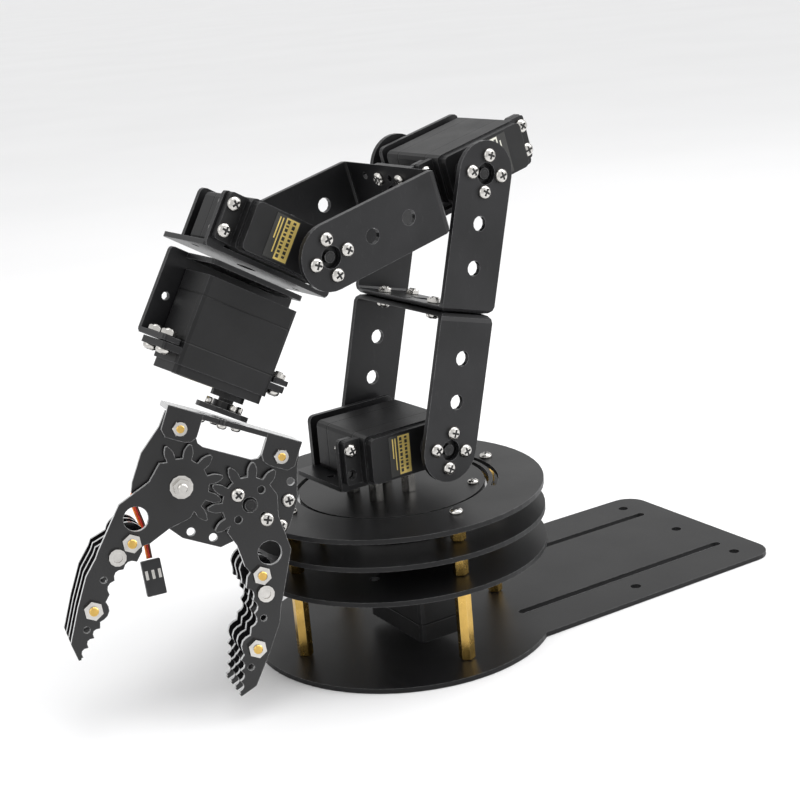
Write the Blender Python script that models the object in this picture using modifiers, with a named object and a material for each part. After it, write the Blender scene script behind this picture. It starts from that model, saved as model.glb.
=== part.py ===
"""Six-servo desktop robot arm on a round stacked base with a two-finger gripper.

Row frame, metres: +Z up, origin on the floor under the yaw axis, +X the way
the arm reaches, +Y the side that carries the servo horns.  Lengths below are
in millimetres and are scaled once, where each mesh is made.
"""
import bpy
import bmesh
import math
from mathutils import Matrix, Vector

MM = 0.001
OBJECT_NAME = "scara_robot_arm"

# ---------------------------------------------------------------- dimensions
SHEET = 2.0                 # bracket sheet thickness
GAP = 0.3                   # clearance between neighbouring pieces
BASE_YAW = -0.056   # base turned a little against the arm's plane

# base stack
BASE_R = 62.7
TAIL_HALF_W = 49.9
TAIL_END_X = -167.3
TAIL_CORNER_R = 10.0
PLATE_R = 62.7
LOWER_Z = (36.1, 38.1)
MID_Z = (50.45, 52.45)
TOP_Z = (61.7, 63.7)
BASE_SERVO_Z = 5.4
POST_PCD_R = 47.6
STANDOFF_AF = 5.6
DISC_R = 38.4
DISC_Z = (61.4, 63.4)
TOP_HOLE_R = 40.2

# servo (origin: shaft axis at the case bottom, +X long end, +Z shaft)
SV_LONG = 30.5
SV_SHORT = 10.2
SV_HALF_W = 9.85
SV_CASE_H = 33.9
SV_FLANGE_Z = (28.0, 30.5)
SV_FLANGE_X = (-17.1, 37.4)
SV_HORN_Z = 46.0
SV_EAR_X = (-14.6, 34.9)
SV_EAR_Y = 5.0
HORN_R = 10.2
HORN_PCD_R = 7.0

# U brackets
U_HALF_IN = 28.0
U_HALF_OUT = 30.0
U_LEN = 53.8   # hub axis to the outer web face
U_HALF_W = 12.65
U_HOLE_1 = 19.1
U_CORNER_R = 3.2            # web corners, clear of the neighbouring bracket
U_HOLE_2 = 36.3

# joint axes and rest pose
SHOULDER = Vector((-2.8, 9.4, 86.07))
ARM_LEAN = 0.250   # upper arm leans back from vertical
FOREARM_PITCH = -0.240   # forearm dips forward
ELBOW_TO_WEB = 21.4
FOREARM_DROP = 1.6
WRIST_PITCH = 0.540   # wrist servo long end pitches up
CASE_BOTTOM_Y = -18.4
ROLL_OFFSET_X = 1.7
ROLL_OFFSET_Y = -0.76
ROLL_CASE_D = 21.17   # wrist axis to the roll servo case bottom
GRIP_PITCH = 0.457
GRIP_ROLL = 0.325

# gripper (W across, D down the fingers, N towards the horn side)
GRIP_GEAR_N = 9.47   # front face of the gear plates
GRIP_BASE_N = 6.09   # front face of the base plate
GEAR_HALF_C = 13.42
GEAR_D = 28.43
GEAR_TEETH = 11
JAW_OPEN = 0.337
PLATE_PITCH = 8.36

# ---------------------------------------------------------------- clean start
for ob in list(bpy.data.objects):
    bpy.data.objects.remove(ob, do_unlink=True)

parts_col = bpy.data.collections.new(OBJECT_NAME)
bpy.context.scene.collection.children.link(parts_col)
cut_col = bpy.data.collections.new("cutters")
bpy.context.scene.collection.children.link(cut_col)
cut_col.hide_render = True

# ---------------------------------------------------------------- materials
BLACK_METAL = ((0.03, 0.03, 0.032), 0.6, 0.42)
BLACK_PLASTIC = ((0.022, 0.022, 0.024), 0.0, 0.55)
NICKEL = ((0.72, 0.71, 0.68), 1.0, 0.25)
BRASS = ((0.72, 0.52, 0.22), 1.0, 0.3)
STEEL = ((0.6, 0.6, 0.6), 1.0, 0.3)
LEAD = ((0.75, 0.22, 0.04), 0.0, 0.5)


def material(name, look):
    rgb, metal, rough = look
    m = bpy.data.materials.new(name + "_mat")
    m.use_nodes = True
    b = m.node_tree.nodes["Principled BSDF"]
    b.inputs["Base Color"].default_value = (rgb[0], rgb[1], rgb[2], 1.0)
    b.inputs["Metallic"].default_value = metal
    b.inputs["Roughness"].default_value = rough
    m.diffuse_color = (rgb[0], rgb[1], rgb[2], 1.0)
    return m


def frame(origin, x, z):
    """4x4 in metres from an origin in mm, an X direction and a Z direction."""
    zz = Vector(z).normalized()
    xx = Vector(x)
    xx = (xx - zz * xx.dot(zz)).normalized()
    yy = zz.cross(xx)
    m = Matrix.Identity(4)
    for i in range(3):
        m[i][0], m[i][1], m[i][2] = xx[i], yy[i], zz[i]
        m[i][3] = origin[i] * MM
    return m


def world_to(parent, m):
    return m if parent is None else parent.matrix_world.inverted() @ m


def empty(name, m):
    e = bpy.data.objects.new(name, None)
    e.empty_display_size = 0.01
    parts_col.objects.link(e)
    e.matrix_world = m
    bpy.context.view_layer.update()
    return e


def finish_mesh(name, me, m, look, smooth=0.0):
    ob = bpy.data.objects.new(name, me)
    parts_col.objects.link(ob)
    ob.matrix_world = m
    me.materials.clear()
    me.materials.append(material(name, look))
    if smooth:
        for p in me.polygons:
            p.use_smooth = True
        me.set_sharp_from_angle(angle=math.radians(smooth))
    return ob


# ---------------------------------------------------------------- shape tools
def circle_pts(cx, cy, r, n=24, a0=0.0, a1=2 * math.pi):
    full = abs(a1 - a0 - 2 * math.pi) < 1e-6
    k = n if full else n + 1
    return [(cx + r * math.cos(a0 + (a1 - a0) * i / n),
             cy + r * math.sin(a0 + (a1 - a0) * i / n)) for i in range(k)]


def rounded_rect(x0, y0, x1, y1, r, n=4):
    out = []
    for cx, cy, a in ((x1 - r, y0 + r, -90), (x1 - r, y1 - r, 0),
                      (x0 + r, y1 - r, 90), (x0 + r, y0 + r, 180)):
        out += circle_pts(cx, cy, r, n, math.radians(a), math.radians(a + 90))
    return out


def slot_pts(x0, y0, x1, y1, r, n=5):
    a = math.atan2(y1 - y0, x1 - x0)
    return (circle_pts(x1, y1, r, n, a - math.pi / 2, a + math.pi / 2) +
            circle_pts(x0, y0, r, n, a + math.pi / 2, a + 3 * math.pi / 2))


def sheet_mesh(outline, holes, z0, z1):
    """Flat sheet from a filled 2D curve; outline and holes in mm."""
    cu = bpy.data.curves.new("sheet", "CURVE")
    cu.dimensions = "2D"
    cu.fill_mode = "BOTH"
    cu.extrude = (z1 - z0) * 0.5 * MM
    for loop in [outline] + list(holes):
        sp = cu.splines.new("POLY")
        sp.points.add(len(loop) - 1)
        for i, q in enumerate(loop):
            sp.points[i].co = (q[0] * MM, q[1] * MM, 0.0, 1.0)
        sp.use_cyclic_u = True
    tmp = bpy.data.objects.new("sheet_tmp", cu)
    bpy.context.scene.collection.objects.link(tmp)
    dg = bpy.context.evaluated_depsgraph_get()
    me = bpy.data.meshes.new_from_object(tmp.evaluated_get(dg), depsgraph=dg)
    bpy.data.objects.remove(tmp, do_unlink=True)
    bpy.data.curves.remove(cu)
    bm = bmesh.new()
    bm.from_mesh(me)
    bmesh.ops.remove_doubles(bm, verts=bm.verts, dist=1e-6)
    bmesh.ops.translate(bm, verts=bm.verts, vec=(0, 0, (z0 + z1) * 0.5 * MM))
    bmesh.ops.recalc_face_normals(bm, faces=bm.faces)
    bm.to_mesh(me)
    bm.free()
    return me


def sheet(name, outline, holes, z0, z1, m, look, smooth=0.0):
    return finish_mesh(name, sheet_mesh(outline, holes, z0, z1), m, look, smooth)


def turned_bm(steps, n=24, bm=None, m=None):
    """Stack of coaxial sections: steps are (z, radius, 'r' or 'h') in mm."""
    def rad(r, kind, a):
        if kind == "h":
            s = math.radians(60)
            return r * math.cos(s / 2) / math.cos((a % s) - s / 2)
        return r
    tmp = bmesh.new()
    z, r, k = steps[0]
    bmesh.ops.create_circle(tmp, cap_ends=True, segments=n, radius=r * MM)
    tmp.verts.ensure_lookup_table()
    ring = list(tmp.verts)
    ang = [math.atan2(v.co.y, v.co.x) % (2 * math.pi) for v in ring]
    for v, a in zip(ring, ang):
        q = rad(r, k, a) * MM
        v.co = Vector((q * math.cos(a), q * math.sin(a), z * MM))
    face = tmp.faces[:][0]
    for i, (z, r, k) in enumerate(steps[1:]):
        old = face
        ret = bmesh.ops.extrude_face_region(tmp, geom=[face])
        face = [g for g in ret["geom"] if isinstance(g, bmesh.types.BMFace)][0]
        if i > 0:
            bmesh.ops.delete(tmp, geom=[old], context="FACES_ONLY")
        for v in face.verts:
            a = math.atan2(v.co.y, v.co.x) % (2 * math.pi)
            q = rad(r, k, a) * MM
            v.co = Vector((q * math.cos(a), q * math.sin(a), z * MM))
    # extruding a face region drops the start cap; close it again
    edges = [e for e in tmp.edges if len(e.link_faces) == 1]
    if edges:
        bmesh.ops.holes_fill(tmp, edges=edges, sides=0)
    bmesh.ops.recalc_face_normals(tmp, faces=tmp.faces)
    if m is not None:
        bmesh.ops.transform(tmp, matrix=m, verts=tmp.verts)
    me = bpy.data.meshes.new("turned")
    tmp.to_mesh(me)
    tmp.free()
    if bm is not None:
        bm.from_mesh(me)
        bpy.data.meshes.remove(me)
        return None
    return me


def turned(name, steps, m, look, n=24, smooth=35.0):
    return finish_mesh(name, turned_bm(steps, n), m, look, smooth)


def ring(name, prof, m, look, n=48, smooth=35.0):
    """Closed (radius, z) profile in mm revolved about local Z."""
    bm = bmesh.new()
    vs = [bm.verts.new((r * MM, 0, z * MM)) for r, z in prof]
    es = [bm.edges.new((vs[i], vs[(i + 1) % len(vs)])) for i in range(len(vs))]
    bmesh.ops.spin(bm, geom=vs + es, cent=(0, 0, 0), axis=(0, 0, 1),
                   angle=2 * math.pi, steps=n, use_merge=True)
    bmesh.ops.remove_doubles(bm, verts=bm.verts, dist=1e-6)
    bmesh.ops.recalc_face_normals(bm, faces=bm.faces)
    me = bpy.data.meshes.new(name)
    bm.to_mesh(me)
    bm.free()
    return finish_mesh(name, me, m, look, smooth)


def cyl(m, x, y, z0, z1, r, axis="z", n=16):
    """A cylinder matrix and size, given in the local mm of frame m."""
    c = {"z": Matrix.Translation((x * MM, y * MM, (z0 + z1) * 0.5 * MM)),
         "y": Matrix.Translation((x * MM, (z0 + z1) * 0.5 * MM, y * MM)) @
         Matrix.Rotation(math.pi / 2, 4, "X"),
         "x": Matrix.Translation(((z0 + z1) * 0.5 * MM, x * MM, y * MM)) @
         Matrix.Rotation(math.pi / 2, 4, "Y")}[axis]
    return ("cyl", m @ c, abs(z1 - z0), r, n)


def box(m, x0, x1, y0, y1, z0, z1):
    c = Matrix.Translation(((x0 + x1) * 0.5 * MM, (y0 + y1) * 0.5 * MM, (z0 + z1) * 0.5 * MM))
    s = Matrix.Diagonal(((x1 - x0) * MM, (y1 - y0) * MM, (z1 - z0) * MM, 1.0))
    return ("box", m @ c @ s)


def prism(m, outline, z0, z1):
    return ("prism", m, outline, z0, z1)


def solid_mesh(items):
    bm = bmesh.new()
    for it in items:
        if it[0] == "cyl":
            bmesh.ops.create_cone(bm, cap_ends=True, segments=it[4], radius1=it[3] * MM,
                                  radius2=it[3] * MM, depth=it[2] * MM, matrix=it[1])
        elif it[0] == "box":
            bmesh.ops.create_cube(bm, size=1.0, matrix=it[1])
        else:
            me = sheet_mesh(it[2], [], it[3], it[4])
            me.transform(it[1])
            bm.from_mesh(me)
            bpy.data.meshes.remove(me)
    bmesh.ops.recalc_face_normals(bm, faces=bm.faces)
    me = bpy.data.meshes.new("solid")
    bm.to_mesh(me)
    bm.free()
    return me


CUT_N = [0]


def boolean(ob, items, op):
    """Boolean with cutters given in world space."""
    CUT_N[0] += 1
    me = solid_mesh(items)
    c = bpy.data.objects.new("cut_%03d_%s" % (CUT_N[0], ob.name), me)
    c.display_type = "WIRE"
    c.hide_render = True
    cut_col.objects.link(c)
    md = ob.modifiers.new("%s_%d" % (op.lower(), CUT_N[0]), "BOOLEAN")
    md.operation = op
    md.solver = "EXACT"
    md.object = c
    return md


def bevel(ob, width, angle=40, segments=1):
    md = ob.modifiers.new("edge_break", "BEVEL")
    md.width = width * MM
    md.segments = segments
    md.limit_method = "ANGLE"
    md.angle_limit = math.radians(angle)
    return md


def put(ob, parent):
    """Hang ob on parent, keeping its place."""
    bpy.context.view_layer.update()
    mw = ob.matrix_world.copy()
    ob.parent = parent
    ob.matrix_parent_inverse = parent.matrix_world.inverted()
    ob.matrix_world = mw
    return ob


# ---------------------------------------------------------------- repeated parts
def servo(name, m):
    """Standard servo: case, mounting ears, gear cover, shaft boss and spline."""
    me = solid_mesh([("prism", Matrix.Identity(4),
                      rounded_rect(-SV_SHORT, -SV_HALF_W, SV_LONG, SV_HALF_W, 2.0, 2), 0.0, SV_CASE_H)])
    ob = finish_mesh(name, me, m, BLACK_PLASTIC, 35.0)
    bpy.context.view_layer.update()
    ears = rounded_rect(SV_FLANGE_X[0], -9.0, SV_FLANGE_X[1], 9.0, 1.2, 2)
    boolean(ob, [prism(m, ears, *SV_FLANGE_Z)], "UNION")
    boolean(ob, [prism(m, rounded_rect(-SV_SHORT + 0.9, -9.2, SV_LONG - 0.9, 9.2, 2.0, 2),
                       SV_CASE_H - 0.4, 37.3)], "UNION")
    boolean(ob, [cyl(m, 0, 0, 37.0, 39.6, 6.5)], "UNION")
    boolean(ob, [cyl(m, 0, 0, 39.2, 43.4, 2.9)], "UNION")
    boolean(ob, [cyl(m, x, y, 27, 32, 2.1, n=8) for x in SV_EAR_X for y in (-SV_EAR_Y, SV_EAR_Y)],
            "DIFFERENCE")
    return ob


def horn(name, m, top=SV_HORN_Z - 0.2):
    """Round metal horn with a hub that sits over the spline."""
    ob = finish_mesh(name, turned_bm([(top - 4.6, 4.4, "r"), (top - 2.0, 4.4, "r"),
                                      (top - 2.0, HORN_R, "r"), (top, HORN_R, "r")], 24),
                     m, BLACK_METAL, 35.0)
    items = [cyl(m, 0, 0, top - 6, 43.7, 3.25)]
    boolean(ob, items, "DIFFERENCE")
    k = [cyl(m, HORN_PCD_R * math.cos(i * math.pi / 2), HORN_PCD_R * math.sin(i * math.pi / 2),
             top - 3, top + 1, 1.3, n=6) for i in range(4)]
    k.append(cyl(m, 0, 0, 43.0, top + 1, 1.4, n=8))
    boolean(ob, k, "DIFFERENCE")
    return ob


def servo_bracket(name, m, side):
    """Multi-function servo bracket; side +1/-1 picks the face its floor covers."""
    s = side
    y0, y1 = SV_HALF_W + GAP, SV_HALF_W + GAP + SHEET
    zf = 27.6                                        # tabs sit behind the ears
    floor = rounded_rect(-18.0, -6.0, 38.4, zf, 1.6, 3)
    holes = [circle_pts(x, z, r, 8) for x, z, r in
             ((-13.5, 12.0, 1.6), (33.5, 12.0, 1.6), (10.0, 11.5, 4.0))]
    # the sheet is drawn in (x, z) and stands on the y side of the case
    fm = m @ Matrix(((1, 0, 0, 0), (0, 0, -1, 0), (0, 1, 0, 0), (0, 0, 0, 1)))
    zz = (-y1, -y0) if s > 0 else (y0, y1)
    ob = sheet(name, floor, holes, zz[0], zz[1], fm, BLACK_METAL, 30.0)
    bpy.context.view_layer.update()
    yy = (-10.9, y1 - 0.01) if s > 0 else (-y1 + 0.01, 10.9)
    wall = rounded_rect(-9.6, yy[0], 31.0, yy[1], 2.4, 3)
    boolean(ob, [prism(m, wall, -6.0, -4.0)], "UNION")
    ty = (-9.0, y1 - 0.02) if s > 0 else (-y1 + 0.02, 9.0)
    boolean(ob, [prism(m, rounded_rect(-17.98, ty[0], -SV_SHORT - 0.5, ty[1], 1.4, 2), zf - SHEET, zf - 0.01)],
            "UNION")
    boolean(ob, [prism(m, rounded_rect(SV_LONG + 0.5, ty[0], 38.38, ty[1], 1.4, 2), zf - SHEET, zf - 0.01)],
            "UNION")
    cuts = [cyl(m, x, y, zf - 4, zf + 2, 1.7, n=8) for x in SV_EAR_X for y in (-SV_EAR_Y, SV_EAR_Y)]
    cuts.append(cyl(m, 0, 0, -8, -2, 3.3))
    cuts += [cyl(m, x, y, -8, -2, 1.5, n=6) for x, y in
             ((7.0, 0), (-7.0, 0), (0, 7.0 * s), (0, -7.0 * s), (22.0, 6.5), (22.0, -6.5))]
    boolean(ob, cuts, "DIFFERENCE")
    return ob


def u_bracket(name, m):
    """Long U bracket. Local frame: hub axis Y, +Z from hub to web, +X across."""
    r = 3.2
    prof = []
    prof += circle_pts(-U_HALF_OUT + r, U_LEN - r, r, 3, math.pi, math.pi / 2)
    prof += circle_pts(U_HALF_OUT - r, U_LEN - r, r, 3, math.pi / 2, 0.0)
    prof += [(U_HALF_OUT, -U_HALF_W), (U_HALF_IN, -U_HALF_W)]
    q = r - SHEET
    prof += circle_pts(U_HALF_IN - q, U_LEN - SHEET - q, q, 2, 0.0, math.pi / 2)
    prof += circle_pts(-U_HALF_IN + q, U_LEN - SHEET - q, q, 2, math.pi / 2, math.pi)
    prof += [(-U_HALF_IN, -U_HALF_W), (-U_HALF_OUT, -U_HALF_W)]
    # profile lives in (y, z); sweep it across x
    pm = m @ Matrix(((0, 0, 1, 0), (1, 0, 0, 0), (0, 1, 0, 0), (0, 0, 0, 1)))
    ob = sheet(name, prof, [], -U_HALF_W, U_HALF_W, pm, BLACK_METAL, 30.0)
    bpy.context.view_layer.update()
    side = circle_pts(0, 0, U_HALF_W, 16, math.pi, 2 * math.pi)
    side += circle_pts(U_HALF_W - U_CORNER_R, U_LEN + 0.01 - U_CORNER_R, U_CORNER_R, 3, 0.0, math.pi / 2)
    side += circle_pts(-U_HALF_W + U_CORNER_R, U_LEN + 0.01 - U_CORNER_R, U_CORNER_R, 3, math.pi / 2, math.pi)
    # rounded hub ends: keep only what lies inside the side outline, drawn in (x, z)
    keep = m @ Matrix(((1, 0, 0, 0), (0, 0, -1, 0), (0, 1, 0, 0), (0, 0, 0, 1)))
    side = [(x * 1.0005, z if z < 0 else z) for x, z in side]
    boolean(ob, [prism(keep, side, -U_HALF_OUT - 1, U_HALF_OUT + 1)], "INTERSECT")
    cuts = [cyl(m, 0, 0, y - 3, y + 3, 4.2, "y") for y in (-29, 29)]
    for y in (-29, 29):
        for i in range(4):
            a = i * math.pi / 2
            cuts.append(cyl(m, HORN_PCD_R * math.cos(a), HORN_PCD_R * math.sin(a), y - 3, y + 3, 1.5, "y", 6))
        cuts.append(cyl(m, 0, U_HOLE_1, y - 3, y + 3, 3.0, "y", 12))
        cuts.append(cyl(m, 0, U_HOLE_2, y - 3, y + 3, 3.0, "y", 12))
    cuts += [cyl(m, 0, 0, U_LEN - 4, U_LEN + 1, 4.2)]
    cuts += [cyl(m, x, y, U_LEN - 4, U_LEN + 1, 1.6, n=6) for x, y in
             ((7, 0), (-7, 0), (0, 7), (0, -7), (7, 17), (-7, 17), (7, -17), (-7, -17))]
    boolean(ob, cuts, "DIFFERENCE")
    return ob


def pivot(name, m):
    """Flanged bearing pin opposite the horn. Local Z points out of the arm."""
    return turned(name, [(-7.2, 2.8, "r"), (-3.35, 2.8, "r"), (-3.35, 5.6, "r"), (-0.3, 5.6, "r"),
                         (-0.3, 3.0, "r"), (2.3, 3.0, "r"), (2.3, 4.0, "r"), (4.2, 4.0, "r"),
                         (4.6, 3.2, "r")], m, NICKEL, 16)


# ---------------------------------------------------------------- base
base_m = Matrix.Rotation(BASE_YAW, 4, "Z")
root = empty("base_frame", base_m)
yaw = empty("base_yaw_axis", Matrix.Identity(4))

c = TAIL_CORNER_R
j = math.sqrt(BASE_R ** 2 - TAIL_HALF_W ** 2)
a_j = math.atan2(TAIL_HALF_W, -j)
outline = circle_pts(0, 0, BASE_R, 56, -a_j, a_j)
outline += circle_pts(TAIL_END_X + c, TAIL_HALF_W - c, c, 6, math.pi / 2, math.pi)
outline += circle_pts(TAIL_END_X + c, -TAIL_HALF_W + c, c, 6, math.pi, 3 * math.pi / 2)
holes = [circle_pts(x, y, 2.4, 12) for x, y in
         ((-152.9, 0.0), (-152.9, 38.6), (-152.9, -38.6), (-95.0, 38.6), (-95.0, -38.6))]
holes += [slot_pts(-43.0, y, -153.5, y, 1.9) for y in (-26.4, 26.4)]
put(sheet("base_plate", outline, holes, 0.0, 2.0, base_m, BLACK_METAL, 30.0), root)

posts = [(POST_PCD_R * math.cos(i * math.pi / 2), POST_PCD_R * math.sin(i * math.pi / 2)) for i in range(4)]
for i, (x, y) in enumerate(posts):
    m = base_m @ Matrix.Translation((x * MM, y * MM, 0)) @ Matrix.Rotation(math.radians(20), 4, "Z")
    r = STANDOFF_AF / 2 / math.cos(math.radians(30))
    put(turned("standoff_%d" % (i + 1), [(2.15, r - 0.5, "r"), (2.6, r, "h"), (35.5, r, "h"), (35.95, r - 0.5, "r")],
               m, BRASS, 12, 30.0), root)
    put(turned("upper_post_%d" % (i + 1), [(38.25, 2.6, "r"), (38.6, 3.1, "h"), (49.9, 3.1, "h"), (50.3, 2.6, "r"),
                                           (50.3, 1.5, "r"), (52.6, 1.5, "r"), (52.6, 2.6, "r"),
                                           (53.0, 3.1, "h"), (61.2, 3.1, "h"), (61.55, 2.6, "r")],
               m, BRASS, 12, 30.0), root)

disc = circle_pts(0, 0, PLATE_R, 64)
post_holes = [circle_pts(x, y, 1.8, 12) for x, y in posts]
sv_cut = rounded_rect(-10.2, -10.6, 10.2, 30.9, 1.5, 3)
put(sheet("lower_plate", disc, [sv_cut] + [circle_pts(x, y, 2.0, 12) for x, y in ((-30, 0), (30, 0), (-28, 28), (28, 28))],
          LOWER_Z[0], LOWER_Z[1], base_m, BLACK_METAL, 30.0), root)
put(sheet("mid_plate", disc, [circle_pts(0, 0, 27.0, 48)] + post_holes, MID_Z[0], MID_Z[1], base_m,
          BLACK_METAL, 30.0), root)
a0, a1 = math.radians(129) - BASE_YAW, math.radians(296) - BASE_YAW
arc = (circle_pts(0, 0, 44.1, 28, a0, a1) + circle_pts(0, 0, 41.8, 28, a1, a0))
put(sheet("top_plate", disc, [circle_pts(0, 0, TOP_HOLE_R, 64), arc], TOP_Z[0], TOP_Z[1], base_m,
          BLACK_METAL, 30.0), root)

base_servo_m = frame((0, 0, BASE_SERVO_Z), (0, 1, 0), (0, 0, 1))
base_servo_m = base_m @ base_servo_m
put(servo("base_servo", base_servo_m), root)
put(ring("yaw_bearing_race", [(30.0, 52.8), (39.4, 52.8), (39.4, 60.9), (37.0, 60.9), (37.0, 56.6), (30.0, 56.6)],
         base_m, STEEL, 48), root)

# ---------------------------------------------------------------- turntable
put(horn("base_servo_horn", frame((0, 0, BASE_SERVO_Z), (0, 1, 0), (0, 0, 1))), yaw)
disc_ob = turned("turntable_disc", [(51.6, 9.0, "r"), (57.0, 9.0, "r"), (57.0, 36.4, "r"), (DISC_Z[0], 36.4, "r"),
                                    (DISC_Z[0], DISC_R, "r"), (DISC_Z[1], DISC_R, "r")], Matrix.Identity(4),
                 BLACK_METAL, 48)
boolean(disc_ob, [cyl(Matrix.Identity(4), x, y, 60.0, 65.5, 1.6, n=12) for x, y in
                  ((-24.0, 24.0), (-30.5, 0.0), (-24.0, -24.0), (0.0, -31.0))], "DIFFERENCE")
put(disc_ob, yaw)

S = SHOULDER
sh_m = frame((S.x, S.y + CASE_BOTTOM_Y, S.z), (1, 0, 0), (0, 1, 0))
put(servo("shoulder_servo", sh_m), yaw)
put(servo_bracket("shoulder_bracket", sh_m, 1), yaw)
floor_z = S.z - SV_HALF_W - GAP - SHEET
for i, (x, z) in enumerate(((2.0, 3.0), (18.0, 3.0), (2.0, 20.0), (18.0, 20.0))):
    # spacers between the disc and the bracket floor
    m = Matrix.Translation(((S.x + x) * MM, (S.y + CASE_BOTTOM_Y + z) * MM, 0))
    put(turned("shoulder_spacer_%d" % (i + 1), [(DISC_Z[1] + 0.15, 3.2, "h"), (floor_z - 0.15, 3.2, "h")], m, NICKEL, 12, 30.0), yaw)

# ---------------------------------------------------------------- upper arm
shoulder = empty("shoulder_axis", Matrix.Translation(S * MM))
u = Vector((-math.sin(ARM_LEAN), 0, math.cos(ARM_LEAN)))
E = S + u * (2 * U_LEN)
X_ = Vector((0, 1, 0))
low_m = frame(S, X_.cross(u), u)
put(u_bracket("lower_u_bracket", low_m), shoulder)
up_m = frame(E + u * 0.0, X_.cross(-u), -u)
# keep a hair between the two webs, which are bolted back to back
up_m = Matrix.Translation(u * 0.1 * MM) @ up_m
E = E + u * 0.1
put(u_bracket("upper_u_bracket", up_m), shoulder)
put(horn("shoulder_horn", frame((S.x, S.y + CASE_BOTTOM_Y, S.z), u, (0, 1, 0))), shoulder)
put(pivot("shoulder_pivot", frame((S.x, S.y - U_HALF_IN, S.z), (1, 0, 0), (0, -1, 0))), shoulder)
put(horn("elbow_horn", frame((E.x, S.y + CASE_BOTTOM_Y, E.z), u, (0, 1, 0))), shoulder)
put(pivot("elbow_pivot", frame((E.x, S.y - U_HALF_IN, E.z), (1, 0, 0), (0, -1, 0))), shoulder)

# ---------------------------------------------------------------- forearm
elbow = empty("elbow_axis", Matrix.Translation(E * MM))
f = Vector((math.cos(FOREARM_PITCH), 0, math.sin(FOREARM_PITCH)))
g = Vector((-math.sin(FOREARM_PITCH), 0, math.cos(FOREARM_PITCH)))
el_m = frame((E.x, S.y + CASE_BOTTOM_Y, E.z), -f, (0, 1, 0))
put(servo("elbow_servo", el_m), elbow)
put(servo_bracket("elbow_bracket", el_m, -1), elbow)
W = E + f * (ELBOW_TO_WEB + U_LEN) - g * FOREARM_DROP
fore_m = frame(W, X_.cross(-f), -f)
put(u_bracket("forearm_u_bracket", fore_m), elbow)
# L bracket: foot under the elbow bracket's floor, leg against the forearm web
d0 = SV_HALF_W + GAP + SHEET + 0.15
leg0, leg1 = ELBOW_TO_WEB - 2.25, ELBOW_TO_WEB - 0.15
lm = frame(E, f, (0, 1, 0))         # local x = f, local y = -g, z = Y
prof = [(-20.0, d0), (leg0 - 0.3, d0), (leg0, d0 - 0.3), (leg0, -9.5), (leg1, -9.5),
        (leg1, d0 + 0.6), (leg1 - 0.8, d0 + SHEET - 0.2), (leg1 - 1.5, d0 + SHEET), (-20.0, d0 + SHEET)]
l_ob = sheet("elbow_l_bracket", prof, [], -12.4, 12.4, lm, BLACK_METAL, 30.0)
bpy.context.view_layer.update()
boolean(l_ob, [cyl(lm, x, z, d0 - 2, d0 + 4, 1.6, "y", 12) for x in (-14.0, -2.0) for z in (-7.0, 7.0)] +
        [cyl(lm, y, z, leg0 - 2, leg1 + 2, 1.6, "x", 12) for y in (-5.0,) for z in (-7.0, 7.0)], "DIFFERENCE")
put(l_ob, elbow)
put(horn("wrist_horn", frame((W.x, S.y + CASE_BOTTOM_Y, W.z), f, (0, 1, 0))), elbow)
put(pivot("wrist_pivot", frame((W.x, S.y - U_HALF_IN, W.z), (1, 0, 0), (0, -1, 0))), elbow)

# ---------------------------------------------------------------- wrist
wrist = empty("wrist_axis", Matrix.Translation(W * MM))
e = Vector((math.cos(WRIST_PITCH), 0, math.sin(WRIST_PITCH)))
d = Vector((math.sin(WRIST_PITCH), 0, -math.cos(WRIST_PITCH)))
wr_m = frame((W.x, S.y + CASE_BOTTOM_Y, W.z), e, (0, 1, 0))
put(servo("wrist_servo", wr_m), wrist)
put(servo_bracket("wrist_bracket", wr_m, 1), wrist)
R0 = W + e * ROLL_OFFSET_X + X_ * ROLL_OFFSET_Y
ro_m = frame(R0 + d * ROLL_CASE_D, e, d)
put(servo("roll_servo", ro_m), wrist)
put(servo_bracket("roll_bracket", ro_m, 1), wrist)

# ---------------------------------------------------------------- gripper body
HORN_AT = R0 + d * (ROLL_CASE_D + SV_HORN_Z)
roll = empty("roll_axis", Matrix.Translation(HORN_AT * MM))
ge = Vector((math.cos(GRIP_PITCH), 0, math.sin(GRIP_PITCH)))
D = Vector((math.sin(GRIP_PITCH), 0, -math.cos(GRIP_PITCH)))
Wv = -math.cos(GRIP_ROLL) * ge + math.sin(GRIP_ROLL) * X_
N = Wv.cross(-D)
G0 = W + ge * ROLL_OFFSET_X + X_ * ROLL_OFFSET_Y + D * (ROLL_CASE_D + SV_HORN_Z)
gm = frame(G0, Wv, N)               # local x = W, local y = -D, local z = N


def wd(pts):
    return [(w, -dd) for w, dd in pts]


put(horn("roll_horn", frame(HORN_AT - d * SV_HORN_Z, e, d), SV_HORN_Z - 0.6), roll)

hole_w = (HORN_AT - G0).dot(Wv)
hole_n = (HORN_AT - G0).dot(N)
# folded mounting plate: top sheet under the horn and two front tabs
tm = frame(G0, Wv, -D)              # local x = W, local y = (-D) x W, z = up
ny = 1.0 if (tm.to_3x3() @ Vector((0, 1, 0))).dot(N) > 0 else -1.0
tab_n0, tab_n1 = GRIP_BASE_N + 0.1, GRIP_BASE_N + 1.9
top_out = [(-26.3, tab_n1 - 0.05), (-26.3, -9.0), (-12.5, -13.5), (12.5, -13.5), (26.3, -9.0), (26.3, tab_n1 - 0.05)]
mount = sheet("gripper_mount_plate", [(x, y * ny) for x, y in top_out], [circle_pts(hole_w, hole_n * ny, 3.3, 20)],
              -2.7, -0.7, tm, BLACK_METAL, 30.0)
bpy.context.view_layer.update()
for s in (-1, 1):
    tab = wd([(s * 26.2, 0.95), (s * 12.7, 0.95), (s * 12.7, 9.4), (s * 14.1, 11.6), (s * 16.5, 12.5),
              (s * 24.0, 12.5), (s * 26.2, 10.2)])
    boolean(mount, [prism(gm, tab, tab_n0, tab_n1)], "UNION")
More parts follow.
